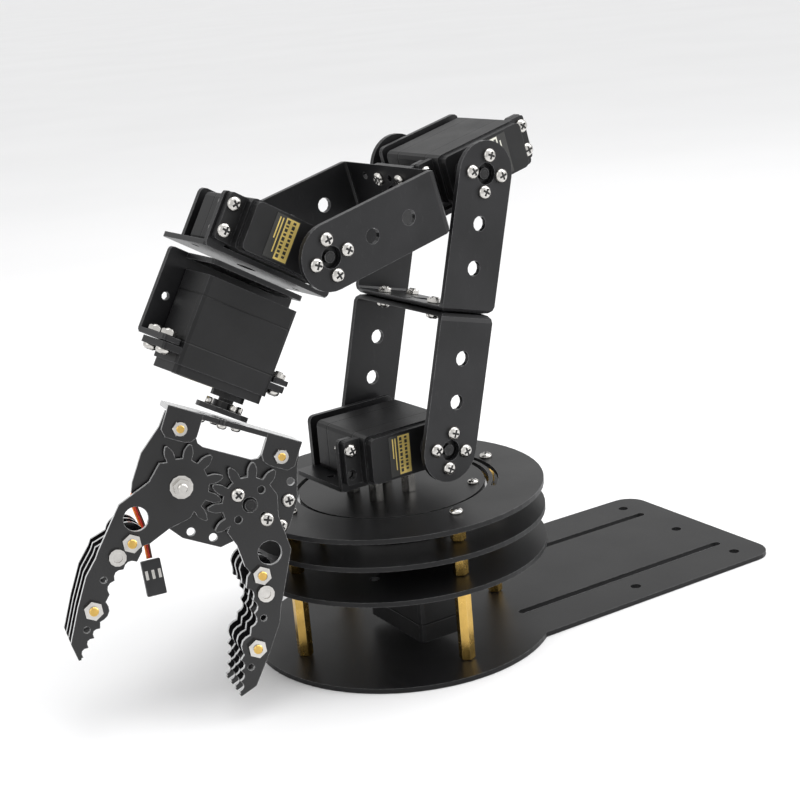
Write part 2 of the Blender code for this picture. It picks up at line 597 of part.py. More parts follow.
boolean(mount, [cyl(gm, s * 19.84, -8.08, tab_n0 - 1, tab_n1 + 1, 1.8, n=16) for s in (-1, 1)], "DIFFERENCE")
boolean(mount, [cyl(tm, hole_w + 7 * math.cos(k * math.pi / 2), (hole_n + 7 * math.sin(k * math.pi / 2)) * ny,
                    -5, 0, 1.5, n=12) for k in range(4)], "DIFFERENCE")
put(mount, roll)

# base plate of the gripper with the window between its two tabs
bp = [(-26.4, 3.1), (-12.9, 3.1), (-12.7, 9.6), (-11.4, 11.6), (-9.0, 12.5), (10.1, 12.3), (12.3, 11.2),
      (13.0, 9.4), (13.0, 3.1), (26.5, 3.1), (27.9, 11.0), (31.5, 22.7), (31.4, 33.0), (29.6, 36.4), (13.5, 42.4),
      (8.2, 46.9), (-6.7, 47.0), (-12.7, 44.8), (-29.9, 35.5), (-30.6, 31.7), (-30.5, 20.6), (-26.9, 9.4)]
bholes = [circle_pts(s * 19.84, -8.08, 1.7, 16) for s in (-1, 1)]
bholes += [circle_pts(s * 4.35, -44.0, 1.6, 16) for s in (-1, 1)]
bholes += [circle_pts(26.9, -16.4, 1.5, 16), circle_pts(GEAR_HALF_C, -GEAR_D, 10.7, 40),
           circle_pts(-GEAR_HALF_C, -GEAR_D, 2.3, 16)]
bholes += [circle_pts(GEAR_HALF_C + 14.6, -GEAR_D + k, 1.6, 16) for k in (-5, 5)]
bholes += [circle_pts(GEAR_HALF_C - 34.9, -GEAR_D + k, 1.6, 16) for k in (-5, 5)]
gb = sheet("gripper_base_plate", wd(bp), bholes, GRIP_BASE_N - SHEET, GRIP_BASE_N - 0.1, gm, BLACK_METAL, 30.0)
put(gb, roll)
PR = G0 + Wv * GEAR_HALF_C + D * GEAR_D
PL = G0 - Wv * GEAR_HALF_C + D * GEAR_D
gear_back = GRIP_GEAR_N - SHEET
gs_m = frame(PR + N * (gear_back - SV_HORN_Z), -Wv, N)
put(servo("gripper_servo", gs_m), roll)
b0 = GRIP_BASE_N - SHEET - 0.15      # bolt head bears on the back of the base plate
w0 = GRIP_GEAR_N + 0.15              # washer and nut in front of the gear
put(turned("left_pivot_bolt", [(b0 - 2.8, 3.3, "h"), (b0, 3.3, "h"), (b0, 1.9, "r"), (w0, 1.9, "r"), (w0, 4.4, "r"),
                               (w0 + 0.8, 4.4, "r"), (w0 + 0.8, 3.3, "h"), (w0 + 3.0, 3.3, "h"), (w0 + 3.0, 1.8, "r"),
                               (w0 + 4.1, 1.8, "r"), (w0 + 4.4, 1.4, "r")],
           frame(PL, Wv, N), NICKEL, 12, 30.0), roll)


# ---------------------------------------------------------------- jaws
def scallops(peaks, depth, n=4):
    out = []
    for (ax, ay), (bx, by) in zip(peaks[:-1], peaks[1:]):
        L = math.hypot(bx - ax, by - ay)
        nx, ny_ = (by - ay) / L, -(bx - ax) / L
        if nx < 0:
            nx, ny_ = -nx, -ny_
        dep = min(depth, L * 0.42)
        for i in range(n):
            t = i / n
            k = dep * math.sin(math.pi * t) ** 0.8 if t > 0 else 0.0
            out.append((ax + (bx - ax) * t + nx * k, ay + (by - ay) * t + ny_ * k))
    out.append(peaks[-1])
    return out


OUTER = [(11.2, 36.0), (10.4, 38.6), (9.4, 46.0), (5.1, 57.0), (-0.5, 69.2), (-6.4, 72.6)]
TIP_UP = [(-7.1, 71.8), (-7.1, 70.8), (-6.5, 66.8), (-6.2, 62.8), (-5.9, 58.7)]
BUMP = [(-5.0, 57.4), (-4.5, 56.8), (-5.2, 55.2), (-5.5, 53.5), (-4.9, 51.6), (-3.6, 50.4), (-1.9, 49.6)]
UP = [(-1.5, 46.7), (0.0, 41.5), (-0.3, 36.4), (-2.75, 31.4)]


def serrated():
    pts = scallops(TIP_UP, 1.5)
    pts += BUMP
    pts += scallops(UP, 1.6)
    return pts


def gear_pts(angles_deg):
    """Involute teeth on part of a rim; angles in the jaw frame."""
    rp = GEAR_HALF_C
    pa = math.radians(20)
    rb = rp * math.cos(pa)
    ro, rr = rp + 2.45, rp - 2.95
    half = 0.43 * (2 * math.pi / GEAR_TEETH) / 2
    inv = math.tan(pa) - pa
    pts = []
    for a in angles_deg:
        a = math.radians(a)
        fl = []
        for r in (rr, rb, rp - 0.3, rp + 0.9, rp + 1.8, ro):
            al = math.acos(min(1.0, rb / max(r, rb)))
            h = half + inv - (math.tan(al) - al)
            if r < rb:
                h += 0.02
            fl.append((r, max(h, 0.03)))
        up = [(r * math.cos(a - h), r * math.sin(a - h)) for r, h in fl]
        dn = [(r * math.cos(a + h), r * math.sin(a + h)) for r, h in reversed(fl)]
        pts += up + dn
    return pts


def jaw_frame(side):
    """Jaw-local x outward, y along the finger; the pivot is the origin."""
    t = JAW_OPEN
    ox = side * Wv * math.cos(t) - D * math.sin(t)
    oy = side * Wv * math.sin(t) + D * math.cos(t)
    return ox, oy


PITCH = 360.0 / GEAR_TEETH
for side, tag in ((1, "right"), (-1, "left")):
    ox, oy = jaw_frame(side)
    P0 = PR if side > 0 else PL
    ax = empty(tag + "_jaw_axis", Matrix.Translation(P0 * MM))
    # a sheet drawn in (x, s*y) with its normal along N
    s = 1.0 if ox.cross(oy).dot(N) > 0 else -1.0
    jm = frame(P0, ox, N)

    def J(pts, s=s):
        return [(x, y * s) for x, y in pts]
    first = -34.1 if side < 0 else -34.1 - PITCH / 2
    teeth = [first - PITCH * k for k in range(5, -1, -1)]
    rim = gear_pts(teeth)
    neck = [(-9.0, 9.7)] if side > 0 else [(-8.6, 9.4), (-9.6, 7.4)]
    body = [(10.7, 5.0), (15.0, 18.0), (13.2, 26.5)] + OUTER + serrated() + \
        [(-2.1, 27.2), (-0.9, 25.6), (-2.8, 23.3), (-5.5, 14.9)] + neck
    tail = [(11.6, -2.6)] if side < 0 else [(10.6, -3.0)]
    h_big = circle_pts(6.8, 18.8 * s, 4.6, 24)
    bolts = [(3.1, 26.8), (4.33, 33.9), (0.18, 54.5)]
    h_bolts = [circle_pts(x, y * s, 1.75, 10) for x, y in bolts]
    h_small = [circle_pts(3.4, 43.5 * s, 1.3, 8), circle_pts(-2.2, 61.8 * s, 1.3, 8)]
    if side < 0:
        h_piv = [circle_pts(0, 0, 2.3, 16)]
    else:
        h_piv = [circle_pts(0, 0, 2.9, 20)]
        for k in range(4):
            a = math.radians(40.8 + 90 * k)
            h_piv.append(circle_pts(7 * math.cos(a), 7 * math.sin(a) * s, 1.5, 12))
    put(sheet("%s_gear_finger" % tag, J(body + rim + tail), [h_big] + h_bolts + h_small + h_piv,
              gear_back + 0.1, GRIP_GEAR_N, jm, BLACK_METAL, 30.0), ax)
    top_end = circle_pts(3.0, 27.0, 6.4, 12, math.radians(-170), math.radians(30))
    rear = [(10.9, 35.6)] + OUTER + serrated() + [(-2.6, 29.6)] + top_end
    for k in (1, 2, 3):
        n1 = GRIP_GEAR_N - k * PLATE_PITCH
        put(sheet("%s_finger_plate_%d" % (tag, k + 1), J(rear), h_bolts + h_small, n1 - SHEET + 0.1, n1, jm,
                  BLACK_METAL, 30.0), ax)
    for k, (x, y) in enumerate(bolts):
        P1 = P0 + ox * x + oy * y
        rear_face = GRIP_GEAR_N - 3 * PLATE_PITCH - SHEET
        st = [(rear_face - 2.4, 2.9, "h"), (rear_face - 0.1, 2.9, "h")]
        z_f = GRIP_GEAR_N + 0.15
        st += [(rear_face - 0.1, 1.45, "r"), (z_f, 1.45, "r")]
        if k == 1:
            st += [(z_f, 3.2, "r"), (z_f + 1.9, 3.2, "r"), (z_f + 1.9, 1.9, "r"), (z_f + 1.2, 1.9, "r")]
        else:
            st += [(z_f, 3.6, "h"), (z_f + 2.1, 3.6, "h"), (z_f + 2.1, 1.9, "r"), (z_f + 2.5, 1.9, "r")]
        clean = [st[0]]
        for q in st[1:]:
            if abs(q[0] - clean[-1][0]) < 1e-6 and abs(q[1] - clean[-1][1]) < 1e-6:
                continue
            clean.append(q)
        put(turned("%s_finger_bolt_%d" % (tag, k + 1), clean, frame(P1, Wv, N), NICKEL, 12, 30.0), ax)
    if side > 0:
        put(horn("gripper_servo_horn", frame(PR + N * (gear_back - SV_HORN_Z), ox, N)), ax)

# ---------------------------------------------------------------- gripper lead
# three-wire lead hanging below the gripper servo with its plug
cu = bpy.data.curves.new("gripper_lead", "CURVE")
cu.dimensions = "3D"
cu.bevel_depth = 0.75 * MM
cu.bevel_resolution = 2
cu.use_fill_caps = True
cu.resolution_u = 5
sp = cu.splines.new("BEZIER")


def gpt(w, dd, n):
    return (G0 + Wv * w + D * dd + N * n) * MM


lead = [(-17.6, 32.0, -34.0), (-22.0, 41.0, -32.0), (-15.5, 51.6, -27.2), (-10.1, 62.1, -25.6)]
sp.bezier_points.add(len(lead) - 1)
for i, q in enumerate(lead):
    b = sp.bezier_points[i]
    b.co = gpt(*q)
    b.handle_left_type = b.handle_right_type = "AUTO"
ob = bpy.data.objects.new("gripper_lead_curve", cu)
bpy.context.scene.collection.objects.link(ob)
dg = bpy.context.evaluated_depsgraph_get()
me = bpy.data.meshes.new_from_object(ob.evaluated_get(dg), depsgraph=dg)
bpy.data.objects.remove(ob, do_unlink=True)
bpy.data.curves.remove(cu)
bm = bmesh.new()
bm.from_mesh(me)
bmesh.ops.remove_doubles(bm, verts=bm.verts, dist=1e-6)
bmesh.ops.recalc_face_normals(bm, faces=bm.faces)
bm.to_mesh(me)
bm.free()
put(finish_mesh("gripper_lead", me, Matrix.Identity(4), LEAD, 40.0), roll)
# three-way plug in line with the lead's last stretch
run = (gpt(*lead[-1]) - gpt(*lead[-2])).normalized()
plug_m = frame(gpt(*lead[-1]) / MM + run * 0.55, Wv, run)
plug = finish_mesh("gripper_lead_plug", solid_mesh([box(plug_m, -3.8, 3.8, -1.3, 1.3, 0.0, 14.0)]),
                   Matrix.Identity(4), BLACK_PLASTIC, 0.0)
bevel(plug, 0.3)
put(plug, roll)

# joint axes hang in a chain
for child, par in ((shoulder, yaw), (elbow, shoulder), (wrist, elbow), (roll, wrist)):
    put(child, par)
for o in list(parts_col.objects):
    if o.name.endswith("_jaw_axis"):
        put(o, roll)
bpy.context.view_layer.update()
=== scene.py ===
import bpy, bmesh, math
from mathutils import Vector, Matrix


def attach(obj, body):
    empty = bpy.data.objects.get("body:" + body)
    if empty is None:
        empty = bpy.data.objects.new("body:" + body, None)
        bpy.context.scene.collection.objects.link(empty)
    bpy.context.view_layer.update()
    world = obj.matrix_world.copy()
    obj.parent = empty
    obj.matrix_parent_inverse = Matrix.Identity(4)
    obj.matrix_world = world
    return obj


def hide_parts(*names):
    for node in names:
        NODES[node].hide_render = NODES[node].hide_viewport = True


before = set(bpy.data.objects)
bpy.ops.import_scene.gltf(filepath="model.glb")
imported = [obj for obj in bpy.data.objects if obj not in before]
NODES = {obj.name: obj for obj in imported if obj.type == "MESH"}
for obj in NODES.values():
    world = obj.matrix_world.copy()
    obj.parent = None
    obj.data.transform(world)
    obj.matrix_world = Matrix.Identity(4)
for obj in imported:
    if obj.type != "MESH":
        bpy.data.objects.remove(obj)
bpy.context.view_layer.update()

MM = 0.001
col = bpy.context.scene.collection


# ------------------------------------------------------------------ camera
C = Vector((0.33552, 0.508, 0.27425))
RT = Vector((-0.81227028, 0.57741100, -0.08254410))
DN = Vector((0.22519113, 0.17989774, -0.95756240))
FW = Vector((-0.53805756, -0.79638769, -0.27615342))
cam_d = bpy.data.cameras.new("cam")
cam_d.lens = 70.02
cam_d.sensor_width = 36.0
cam_d.clip_start = 0.01
cam = bpy.data.objects.new("cam", cam_d)
m = Matrix.Identity(4)
for i in range(3):
    m[i][0], m[i][1], m[i][2], m[i][3] = RT[i], -DN[i], -FW[i], C[i]
cam.matrix_world = m
col.objects.link(cam)
bpy.context.scene.camera = cam


# ------------------------------------------------------------------ materials
class Net:
    def __init__(self, name):
        self.m = bpy.data.materials.new(name)
        self.m.use_nodes = True
        self.t = self.m.node_tree
        self.t.nodes.clear()
        self.out = self.t.nodes.new("ShaderNodeOutputMaterial")
        self.b = self.t.nodes.new("ShaderNodeBsdfPrincipled")
        self.t.links.new(self.b.outputs[0], self.out.inputs[0])
        self.co = self.t.nodes.new("ShaderNodeTexCoord")

    def n(self, kind, **kw):
        x = self.t.nodes.new(kind)
        for k, v in kw.items():
            setattr(x, k, v)
        return x

    def l(self, a, b):
        self.t.links.new(a, b)

    def noise(self, scale, detail=3.0, rough=0.5, stretch=None):
        x = self.n("ShaderNodeTexNoise")
        x.inputs["Scale"].default_value = scale
        x.inputs["Detail"].default_value = detail
        x.inputs["Roughness"].default_value = rough
        src = self.co.outputs["Object"]
        if stretch is not None:
            mp = self.n("ShaderNodeMapping")
            mp.inputs["Scale"].default_value = stretch
            self.l(src, mp.inputs["Vector"])
            src = mp.outputs["Vector"]
        self.l(src, x.inputs["Vector"])
        return x.outputs["Fac"]

    def remap(self, src, a, b, c, d):
        x = self.n("ShaderNodeMapRange")
        for k, v in zip(("From Min", "From Max", "To Min", "To Max"), (a, b, c, d)):
            x.inputs[k].default_value = v
        self.l(src, x.inputs["Value"])
        return x.outputs["Result"]

    def math(self, op, a, b=None):
        x = self.n("ShaderNodeMath", operation=op)
        for i, v in enumerate((a, b)):
            if v is None:
                continue
            if isinstance(v, (int, float)):
                x.inputs[i].default_value = v
            else:
                self.l(v, x.inputs[i])
        return x.outputs[0]

    def mix(self, fac, a, b):
        x = self.n("ShaderNodeMix", data_type="RGBA")
        self.l(fac, x.inputs[0])
        for i, v in ((6, a), (7, b)):
            if isinstance(v, tuple):
                x.inputs[i].default_value = (v[0], v[1], v[2], 1.0)
            else:
                self.l(v, x.inputs[i])
        return x.outputs[2]

    def dot(self, vec_socket, v):
        x = self.n("ShaderNodeVectorMath", operation="DOT_PRODUCT")
        self.l(vec_socket, x.inputs[0])
        x.inputs[1].default_value = v
        return x.outputs["Value"]


def edge_mask(k, radius, lo=0.80, hi=0.985):
    bv = k.n("ShaderNodeBevel")
    bv.samples = 4
    bv.inputs["Radius"].default_value = radius
    ge = k.n("ShaderNodeNewGeometry")
    dt = k.n("ShaderNodeVectorMath", operation="DOT_PRODUCT")
    k.l(bv.outputs[0], dt.inputs[0])
    k.l(ge.outputs["Normal"], dt.inputs[1])
    return k.remap(dt.outputs["Value"], lo, hi, 1.0, 0.0)


def surface(name, base, metal, rough, var=0.25, grain=2500.0, bump=0.02, blotch=60.0, spec=0.5,
            edge=None, cut=None, seams=None, scratch=0.0, coat=0.0):
    """cut = (normal, colour): faces square to normal are the raw cut edge."""
    k = Net(name)
    big = k.noise(blotch, 4.0)
    fine = k.noise(grain, 2.0)
    c0 = tuple(max(0.0, v * (1 - var)) for v in base)
    c1 = tuple(min(1.0, v * (1 + var)) for v in base)
    colr = k.mix(k.remap(big, 0.3, 0.7, 0.0, 1.0), c0, c1)
    r = k.remap(k.math("ADD", k.math("MULTIPLY", big, 0.6), k.math("MULTIPLY", fine, 0.4)), 0.3, 0.7,
                max(0.02, rough - 0.07), rough + 0.07)
    height = fine
    if scratch:
        s = k.noise(900.0, 3.0, 0.6, (1.0, 0.04, 0.3))
        sm = k.remap(s, 0.62, 0.70, 0.0, scratch)
        colr = k.mix(sm, colr, tuple(min(1.0, v * 2.2 + 0.05) for v in base))
        height = k.math("ADD", fine, k.math("MULTIPLY", s, 0.5))
    if cut is not None:
        d = k.math("ABSOLUTE", k.dot(k.co.outputs["Normal"], cut[0]))
        f = k.remap(d, 0.25, 0.45, 1.0, 0.0)
        colr = k.mix(f, colr, cut[1])
    if seams is not None:
        ax, off, zs, w = seams
        z = k.math("SUBTRACT", k.dot(k.co.outputs["Object"], ax), off)
        for q in zs:
            dd = k.math("ABSOLUTE", k.math("SUBTRACT", z, q))
            f = k.remap(dd, w * 0.4, w, 1.0, 0.0)
            colr = k.mix(f, colr, tuple(v * 0.15 for v in base))
            height = k.math("SUBTRACT", height, k.math("MULTIPLY", f, 6.0))
    if edge is not None:
        em = edge_mask(k, edge[1])
        wear = k.math("MULTIPLY", em, k.remap(k.noise(700.0, 4.0), 0.35, 0.6, 0.25, 1.0))
        colr = k.mix(k.math("MULTIPLY", wear, edge[2]), colr, edge[0])
    k.l(colr, k.b.inputs["Base Color"])
    k.l(r, k.b.inputs["Roughness"])
    k.b.inputs["Metallic"].default_value = metal
    k.b.inputs["Specular IOR Level"].default_value = spec
    if coat:
        k.b.inputs["Coat Weight"].default_value = coat
        k.b.inputs["Coat Roughness"].default_value = 0.2
    bp = k.n("ShaderNodeBump")
    bp.inputs["Strength"].default_value = 0.5
    bp.inputs["Distance"].default_value = bump * MM
    k.l(height, bp.inputs["Height"])
    k.l(bp.outputs[0], k.b.inputs["Normal"])
    return k.m


# ------------------------------------------------------------------ the part's own frames (mm)
BASE_YAW = -0.056
S = Vector((-2.8, 9.4, 86.07))
LEAN = 0.250
U_LEN = 53.8
YB = -18.4
u = Vector((-math.sin(LEAN), 0, math.cos(LEAN)))
E = S + u * (2 * U_LEN + 0.1)
FP = -0.240
f = Vector((math.cos(FP), 0, math.sin(FP)))
g = Vector((-math.sin(FP), 0, math.cos(FP)))
W = E + f * (21.4 + U_LEN) - g * 1.6
e = Vector((math.cos(0.54), 0, math.sin(0.54)))
d = Vector((math.sin(0.54), 0, -math.cos(0.54)))
Y = Vector((0, 1, 0))
R0 = W + e * 1.7 - Y * 0.76
HORN = R0 + d * (21.17 + 46.0)
ge = Vector((math.cos(0.457), 0, math.sin(0.457)))
D = Vector((math.sin(0.457), 0, -math.cos(0.457)))
Wv = -math.cos(0.325) * ge + math.sin(0.325) * Y
N = Wv.cross(-D)
G0 = W + ge * 1.7 - Y * 0.76 + D * (21.17 + 46.0)
PR = G0 + Wv * 13.42 + D * 28.43
PL = G0 - Wv * 13.42 + D * 28.43


def fr(origin, x, z):
    zz = Vector(z).normalized()
    xx = Vector(x)
    xx = (xx - zz * xx.dot(zz)).normalized()
    yy = zz.cross(xx)
    q = Matrix.Identity(4)
    for i in range(3):
        q[i][0], q[i][1], q[i][2], q[i][3] = xx[i], yy[i], zz[i], origin[i] * MM
    return q


SERVO = {"shoulder_servo": (fr(S + Y * YB, (1, 0, 0), Y), "turntable"),
         "elbow_servo": (fr(E + Y * YB, -f, Y), "forearm"),
         "wrist_servo": (fr(W + Y * YB, e, Y), "wrist"),
         "roll_servo": (fr(R0 + d * 21.17, e, d), "wrist"),
         "gripper_servo": (fr(PR + N * (7.47 - 46.0), -Wv, N), "gripper"),
         "base_servo": (Matrix.Rotation(BASE_YAW, 4, "Z") @ fr((0, 0, 5.4), (0, 1, 0), (0, 0, 1)), "base")}

GREY = (0.42, 0.42, 0.43)


def cut_of(n):
    return ((n[0], n[1], n[2]), (0.42, 0.42, 0.42))


anod = surface("anodised", (0.013, 0.013, 0.014), 0.25, 0.36, 0.3, 2600.0, 0.012, 45.0, 0.34,
               edge=((0.20, 0.20, 0.205), 0.00045, 0.7), scratch=0.06)
plate = surface("base_plate_finish", (0.007, 0.007, 0.0075), 0.1, 0.40, 0.35, 3200.0, 0.02, 30.0, 0.26,
                edge=((0.22, 0.22, 0.22), 0.0004, 0.55), scratch=0.05)
grip = surface("gripper_finish", (0.006, 0.006, 0.0065), 0.1, 0.22, 0.3, 2200.0, 0.008, 50.0, 0.4,
               edge=((0.5, 0.5, 0.5), 0.00035, 0.9), cut=cut_of(N), coat=0.3)
hornm = surface("horn_finish", (0.010, 0.010, 0.0105), 0.2, 0.34, 0.3, 2600.0, 0.012, 60.0, 0.34,
                edge=((0.35, 0.35, 0.35), 0.0004, 0.8))
nickel = surface("nickel", (0.56, 0.545, 0.52), 1.0, 0.2, 0.12, 1800.0, 0.006, 300.0, 0.5,
                 edge=((0.95, 0.94, 0.92), 0.0003, 0.5))
brass = surface("brass", (0.62, 0.40, 0.11), 1.0, 0.24, 0.16, 1500.0, 0.006, 200.0, 0.5,
                edge=((0.98, 0.82, 0.45), 0.0003, 0.6))
steel = surface("race_steel", (0.58, 0.58, 0.58), 1.0, 0.28, 0.15, 1800.0, 0.006, 150.0, 0.5,
                edge=((0.85, 0.85, 0.85), 0.0003, 0.5))
# painted shade: near-black colour put on screw recesses, hex sockets and plug openings in place of the shade inside
# them
painted_shade = surface("recess_painted_shade", (0.012, 0.012, 0.012), 0.4, 0.5, 0.3, 2000.0, 0.01, 300.0)
plug_m = surface("plug_plastic", (0.018, 0.018, 0.02), 0.0, 0.42, 0.3, 3000.0, 0.02, 200.0,
                 edge=((0.10, 0.10, 0.10), 0.0003, 0.6))
orange = surface("wire_orange", (0.80, 0.20, 0.02), 0.0, 0.42, 0.2, 2500.0, 0.01, 200.0)
red = surface("wire_red", (0.60, 0.025, 0.015), 0.0, 0.42, 0.2, 2500.0, 0.01, 200.0)
brown = surface("wire_brown", (0.10, 0.030, 0.015), 0.0, 0.45, 0.2, 2500.0, 0.01, 200.0)
gold = surface("label_gold", (0.62, 0.47, 0.14), 0.35, 0.40, 0.2, 1500.0, 0.004, 150.0)
white = surface("label_pale", (0.72, 0.71, 0.62), 0.0, 0.45, 0.1, 1500.0, 0.004, 150.0)
ink = surface("label_ink", (0.02, 0.02, 0.018), 0.0, 0.45, 0.3, 1500.0, 0.004, 150.0)
floor_m = surface("floor_paper", (0.86, 0.86, 0.865), 0.0, 0.75, 0.015, 900.0, 0.02, 3.0, 0.25)


def paint(node, mat):
    o = NODES[node]
    for s in o.material_slots:
        s.material = mat


for n in NODES:
    if n in SERVO:
        mw = SERVO[n][0]
        ax = mw.to_3x3() @ Vector((0, 0, 1))
        off = ax.dot(mw.translation)
        paint(n, surface("case_" + n, (0.008, 0.008, 0.0085), 0.0, 0.44, 0.3, 2300.0, 0.05, 80.0, 0.28,
                         edge=((0.10, 0.10, 0.105), 0.0005, 0.7),
                         seams=((ax.x, ax.y, ax.z), off, (0.0075, 0.0255), 0.0004)))
    elif n.startswith("standoff"):
        paint(n, brass)
    elif n.startswith("upper_post"):
        paint(n, brass)
    elif "bolt" in n or "pivot" in n or "spacer" in n:
        paint(n, nickel)
    elif "race" in n:
        paint(n, steel)
    elif n == "gripper_lead_plug":
        paint(n, plug_m)
    elif n == "gripper_lead":
        paint(n, orange)
    elif "horn" in n:
        paint(n, hornm)
    elif n in ("base_plate", "lower_plate", "mid_plate", "top_plate", "turntable_disc"):
        paint(n, plate)
    elif "finger" in n or n.startswith("gripper_"):
        paint(n, grip)
    else:
        paint(n, anod)


# ------------------------------------------------------------------ fasteners
def lathe(bm, prof, n=24, hexa=(), mi=0, m=None):
    rings = []
    for i, (r, z) in enumerate(prof):
        ringv = []
        for k in range(n):
            a = 2 * math.pi * k / n
            q = r
            if i in hexa:
                s = math.radians(60)
                q = r * math.cos(s / 2) / math.cos((a % s) - s / 2)
            ringv.append(bm.verts.new((q * math.cos(a) * MM, q * math.sin(a) * MM, z * MM)))
        rings.append(ringv)
    for a, b in zip(rings[:-1], rings[1:]):
        for k in range(n):
            fc = bm.faces.new((a[k], a[(k + 1) % n], b[(k + 1) % n], b[k]))
            fc.material_index = mi
            fc.smooth = True
    fc = bm.faces.new(rings[-1])
    fc.material_index = mi
    fc = bm.faces.new(list(reversed(rings[0])))
    fc.material_index = mi
    return rings


def master(name, build, mats, sharp=32):
    bm = bmesh.new()
    build(bm)
    bmesh.ops.recalc_face_normals(bm, faces=bm.faces)
    me = bpy.data.meshes.new(name)
    bm.to_mesh(me)
    bm.free()
    for x in mats:
        me.materials.append(x)
    me.set_sharp_from_angle(angle=math.radians(sharp))
    return me


def bar(bm, x0, x1, y0, y1, z0, z1, mi):
    r = bmesh.ops.create_cube(bm, size=1.0, matrix=Matrix.Translation(((x0 + x1) / 2 * MM, (y0 + y1) / 2 * MM, (z0 + z1) / 2 * MM)) @
                              Matrix.Diagonal(((x1 - x0) * MM, (y1 - y0) * MM, (z1 - z0) * MM, 1)))
    fs = {q for v in r["verts"] for q in v.link_faces}
    for q in fs:
        q.material_index = mi


def pan(r, h):
    def go(bm):
        lathe(bm, [(r * 0.96, 0.0), (r, h * 0.12), (r * 0.985, h * 0.42), (r * 0.88, h * 0.72), (r * 0.66, h * 0.92),
                   (r * 0.55, h * 0.965)])
        lathe(bm, [(r * 0.55, h * 0.93), (r * 0.50, h), (r * 0.001, h * 1.005)])
        # crossed recess, drawn as two slots in painted shade (dark colour standing in for the shade inside the
        # recess) cut low into the crown
        w = r * 0.15
        bar(bm, -r * 0.58, r * 0.58, -w, w, h * 0.9, h * 1.015, 1)
        bar(bm, -w, w, -r * 0.58, r * 0.58, h * 0.9, h * 1.012, 1)
    return master("pan_%d" % int(r * 100), go, [nickel, painted_shade])


def socket(r, h, mats):
    def go(bm):
        lathe(bm, [(r * 0.95, 0.0), (r, h * 0.1), (r, h * 0.85), (r * 0.93, h)])
        # the hex socket is a flat hexagon in painted shade, standing in for the shade inside the socket
        lathe(bm, [(r * 0.52, h * 0.98), (r * 0.52, h * 1.01)], 24, (0, 1), 1)
    return master("socket_%d" % int(r * 100), go, mats)


def nut(r, h, mats):
    """Hex nut with its chamfer and a stud end showing."""
    def go(bm):
        lathe(bm, [(r * 0.9, 0.0), (r, h * 0.12), (r, h * 0.86), (r * 0.86, h)], 24, (0, 1, 2))
        lathe(bm, [(r * 0.50, h * 0.9), (r * 0.50, h * 1.18), (r * 0.42, h * 1.28)], 20, (), 1)
    return master("nut_%d" % int(r * 100), go, mats)


PAN_L, PAN_S, PAN_M = pan(2.75, 1.9), pan(1.95, 1.4), pan(2.35, 1.6)
SOC_B = socket(2.3, 1.6, [hornm, painted_shade])
NUT_N = nut(2.9, 2.0, [nickel, nickel])
NUT_B = nut(3.0, 1.9, [nickel, brass])
STUD = master("stud", lambda bm: lathe(bm, [(1.2, 0.0), (1.25, 0.1), (1.25, 2.2), (1.0, 2.6)]), [nickel])
CORE = master("core", lambda bm: lathe(bm, [(1.7, 0.0), (1.75, 0.05), (1.75, 0.35), (1.45, 0.6)]), [brass])

COUNT = {}


def place(me, at, axis, body, turn=0.0, tag="screw"):
    COUNT[tag] = COUNT.get(tag, 0) + 1
    o = bpy.data.objects.new("%s_%02d" % (tag, COUNT[tag]), me)
    ref = Vector((0, 0, 1)) if abs(Vector(axis).normalized().z) < 0.9 else Vector((1, 0, 0))
    o.matrix_world = fr(at, ref, axis) @ Matrix.Rotation(turn, 4, "Z")
    col.objects.link(o)
    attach(o, body)
    return o


def loc(m, x, y, z):
    q = m @ Vector((x * MM, y * MM, z * MM))
    return q / MM


rb = Matrix.Rotation(BASE_YAW, 3, "Z")
for i in range(4):
    a = i * math.pi / 2
    p = rb @ Vector((47.6 * math.cos(a), 47.6 * math.sin(a), 0))
    place(PAN_L, (p.x, p.y, 63.72), (0, 0, 1), "base", 0.4 + i, "plate_screw")
for i, (x, y) in enumerate(((-24, 24), (-30.5, 0), (-24, -24), (0, -31))):
    place(PAN_M, (x, y, 63.42), (0, 0, 1), "turntable", 0.3 + i, "disc_screw")
for (P, ax, body, tag) in ((S, u, "upper_arm", "shoulder_hub_screw"), (E, u, "upper_arm", "elbow_hub_screw"),
                           (W, f, "forearm", "wrist_hub_screw")):
    m = fr(P, Y.cross(ax), ax)
    for i in range(4):
        a = i * math.pi / 2
        q = loc(m, 7 * math.cos(a), 0, 7 * math.sin(a))
        place(PAN_L, q + Y * 30.03, Y, body, 0.5 + i * 0.7, tag)
    place(SOC_B, Vector(P) + Y * (YB + 45.85), Y, body, 0.2, tag + "_centre")
# ears: head on the shaft side, nut behind the bracket's tab
for n in ("shoulder_servo", "elbow_servo", "wrist_servo", "roll_servo"):
    m, body = SERVO[n]
    ax = m.to_3x3() @ Vector((0, 0, 1))
    for x in (-14.6, 34.9):
        for y in (-5, 5):
            if n == "shoulder_servo" and x > 0 and y > 0:
                continue
            place(PAN_L, loc(m, x, y, 30.53), ax, body, 0.3 + x + y, "ear_screw_" + n)
            place(NUT_N, loc(m, x, y, 25.55), -ax, body, 0.2 + x, "ear_nut_" + n)
for dd_ in (-5, 5):
    q = G0 + Wv * 28.02 + D * (28.43 + dd_) + N * 6.02
    place(PAN_L, q, N, "gripper", 0.4 + dd_, "gripper_ear_screw")
# webs bolted back to back
for x in (-7, 7):
    for y in (-17, 17):
        mm_ = fr(S, Y.cross(u), u)
        place(PAN_L, loc(mm_, x, y, 51.77), -u, "upper_arm", 0.5 + x, "web_screw")
        place(NUT_N, loc(mm_, x, y, 55.93), u, "upper_arm", 0.2 + y, "web_nut")
for z in (-7, 7):
    place(PAN_L, E + f * 23.43 + g * 5 + Y * z, f, "forearm", 0.7, "link_screw")
    place(NUT_N, E + f * 19.1 + g * 5 + Y * z, -f, "forearm", 0.1, "link_nut")
    for x in (-14.0, -2.0):
        place(PAN_L, E + f * x - g * (12.3 + 2.18) + Y * z, -g, "forearm", 0.4 + x, "foot_screw")
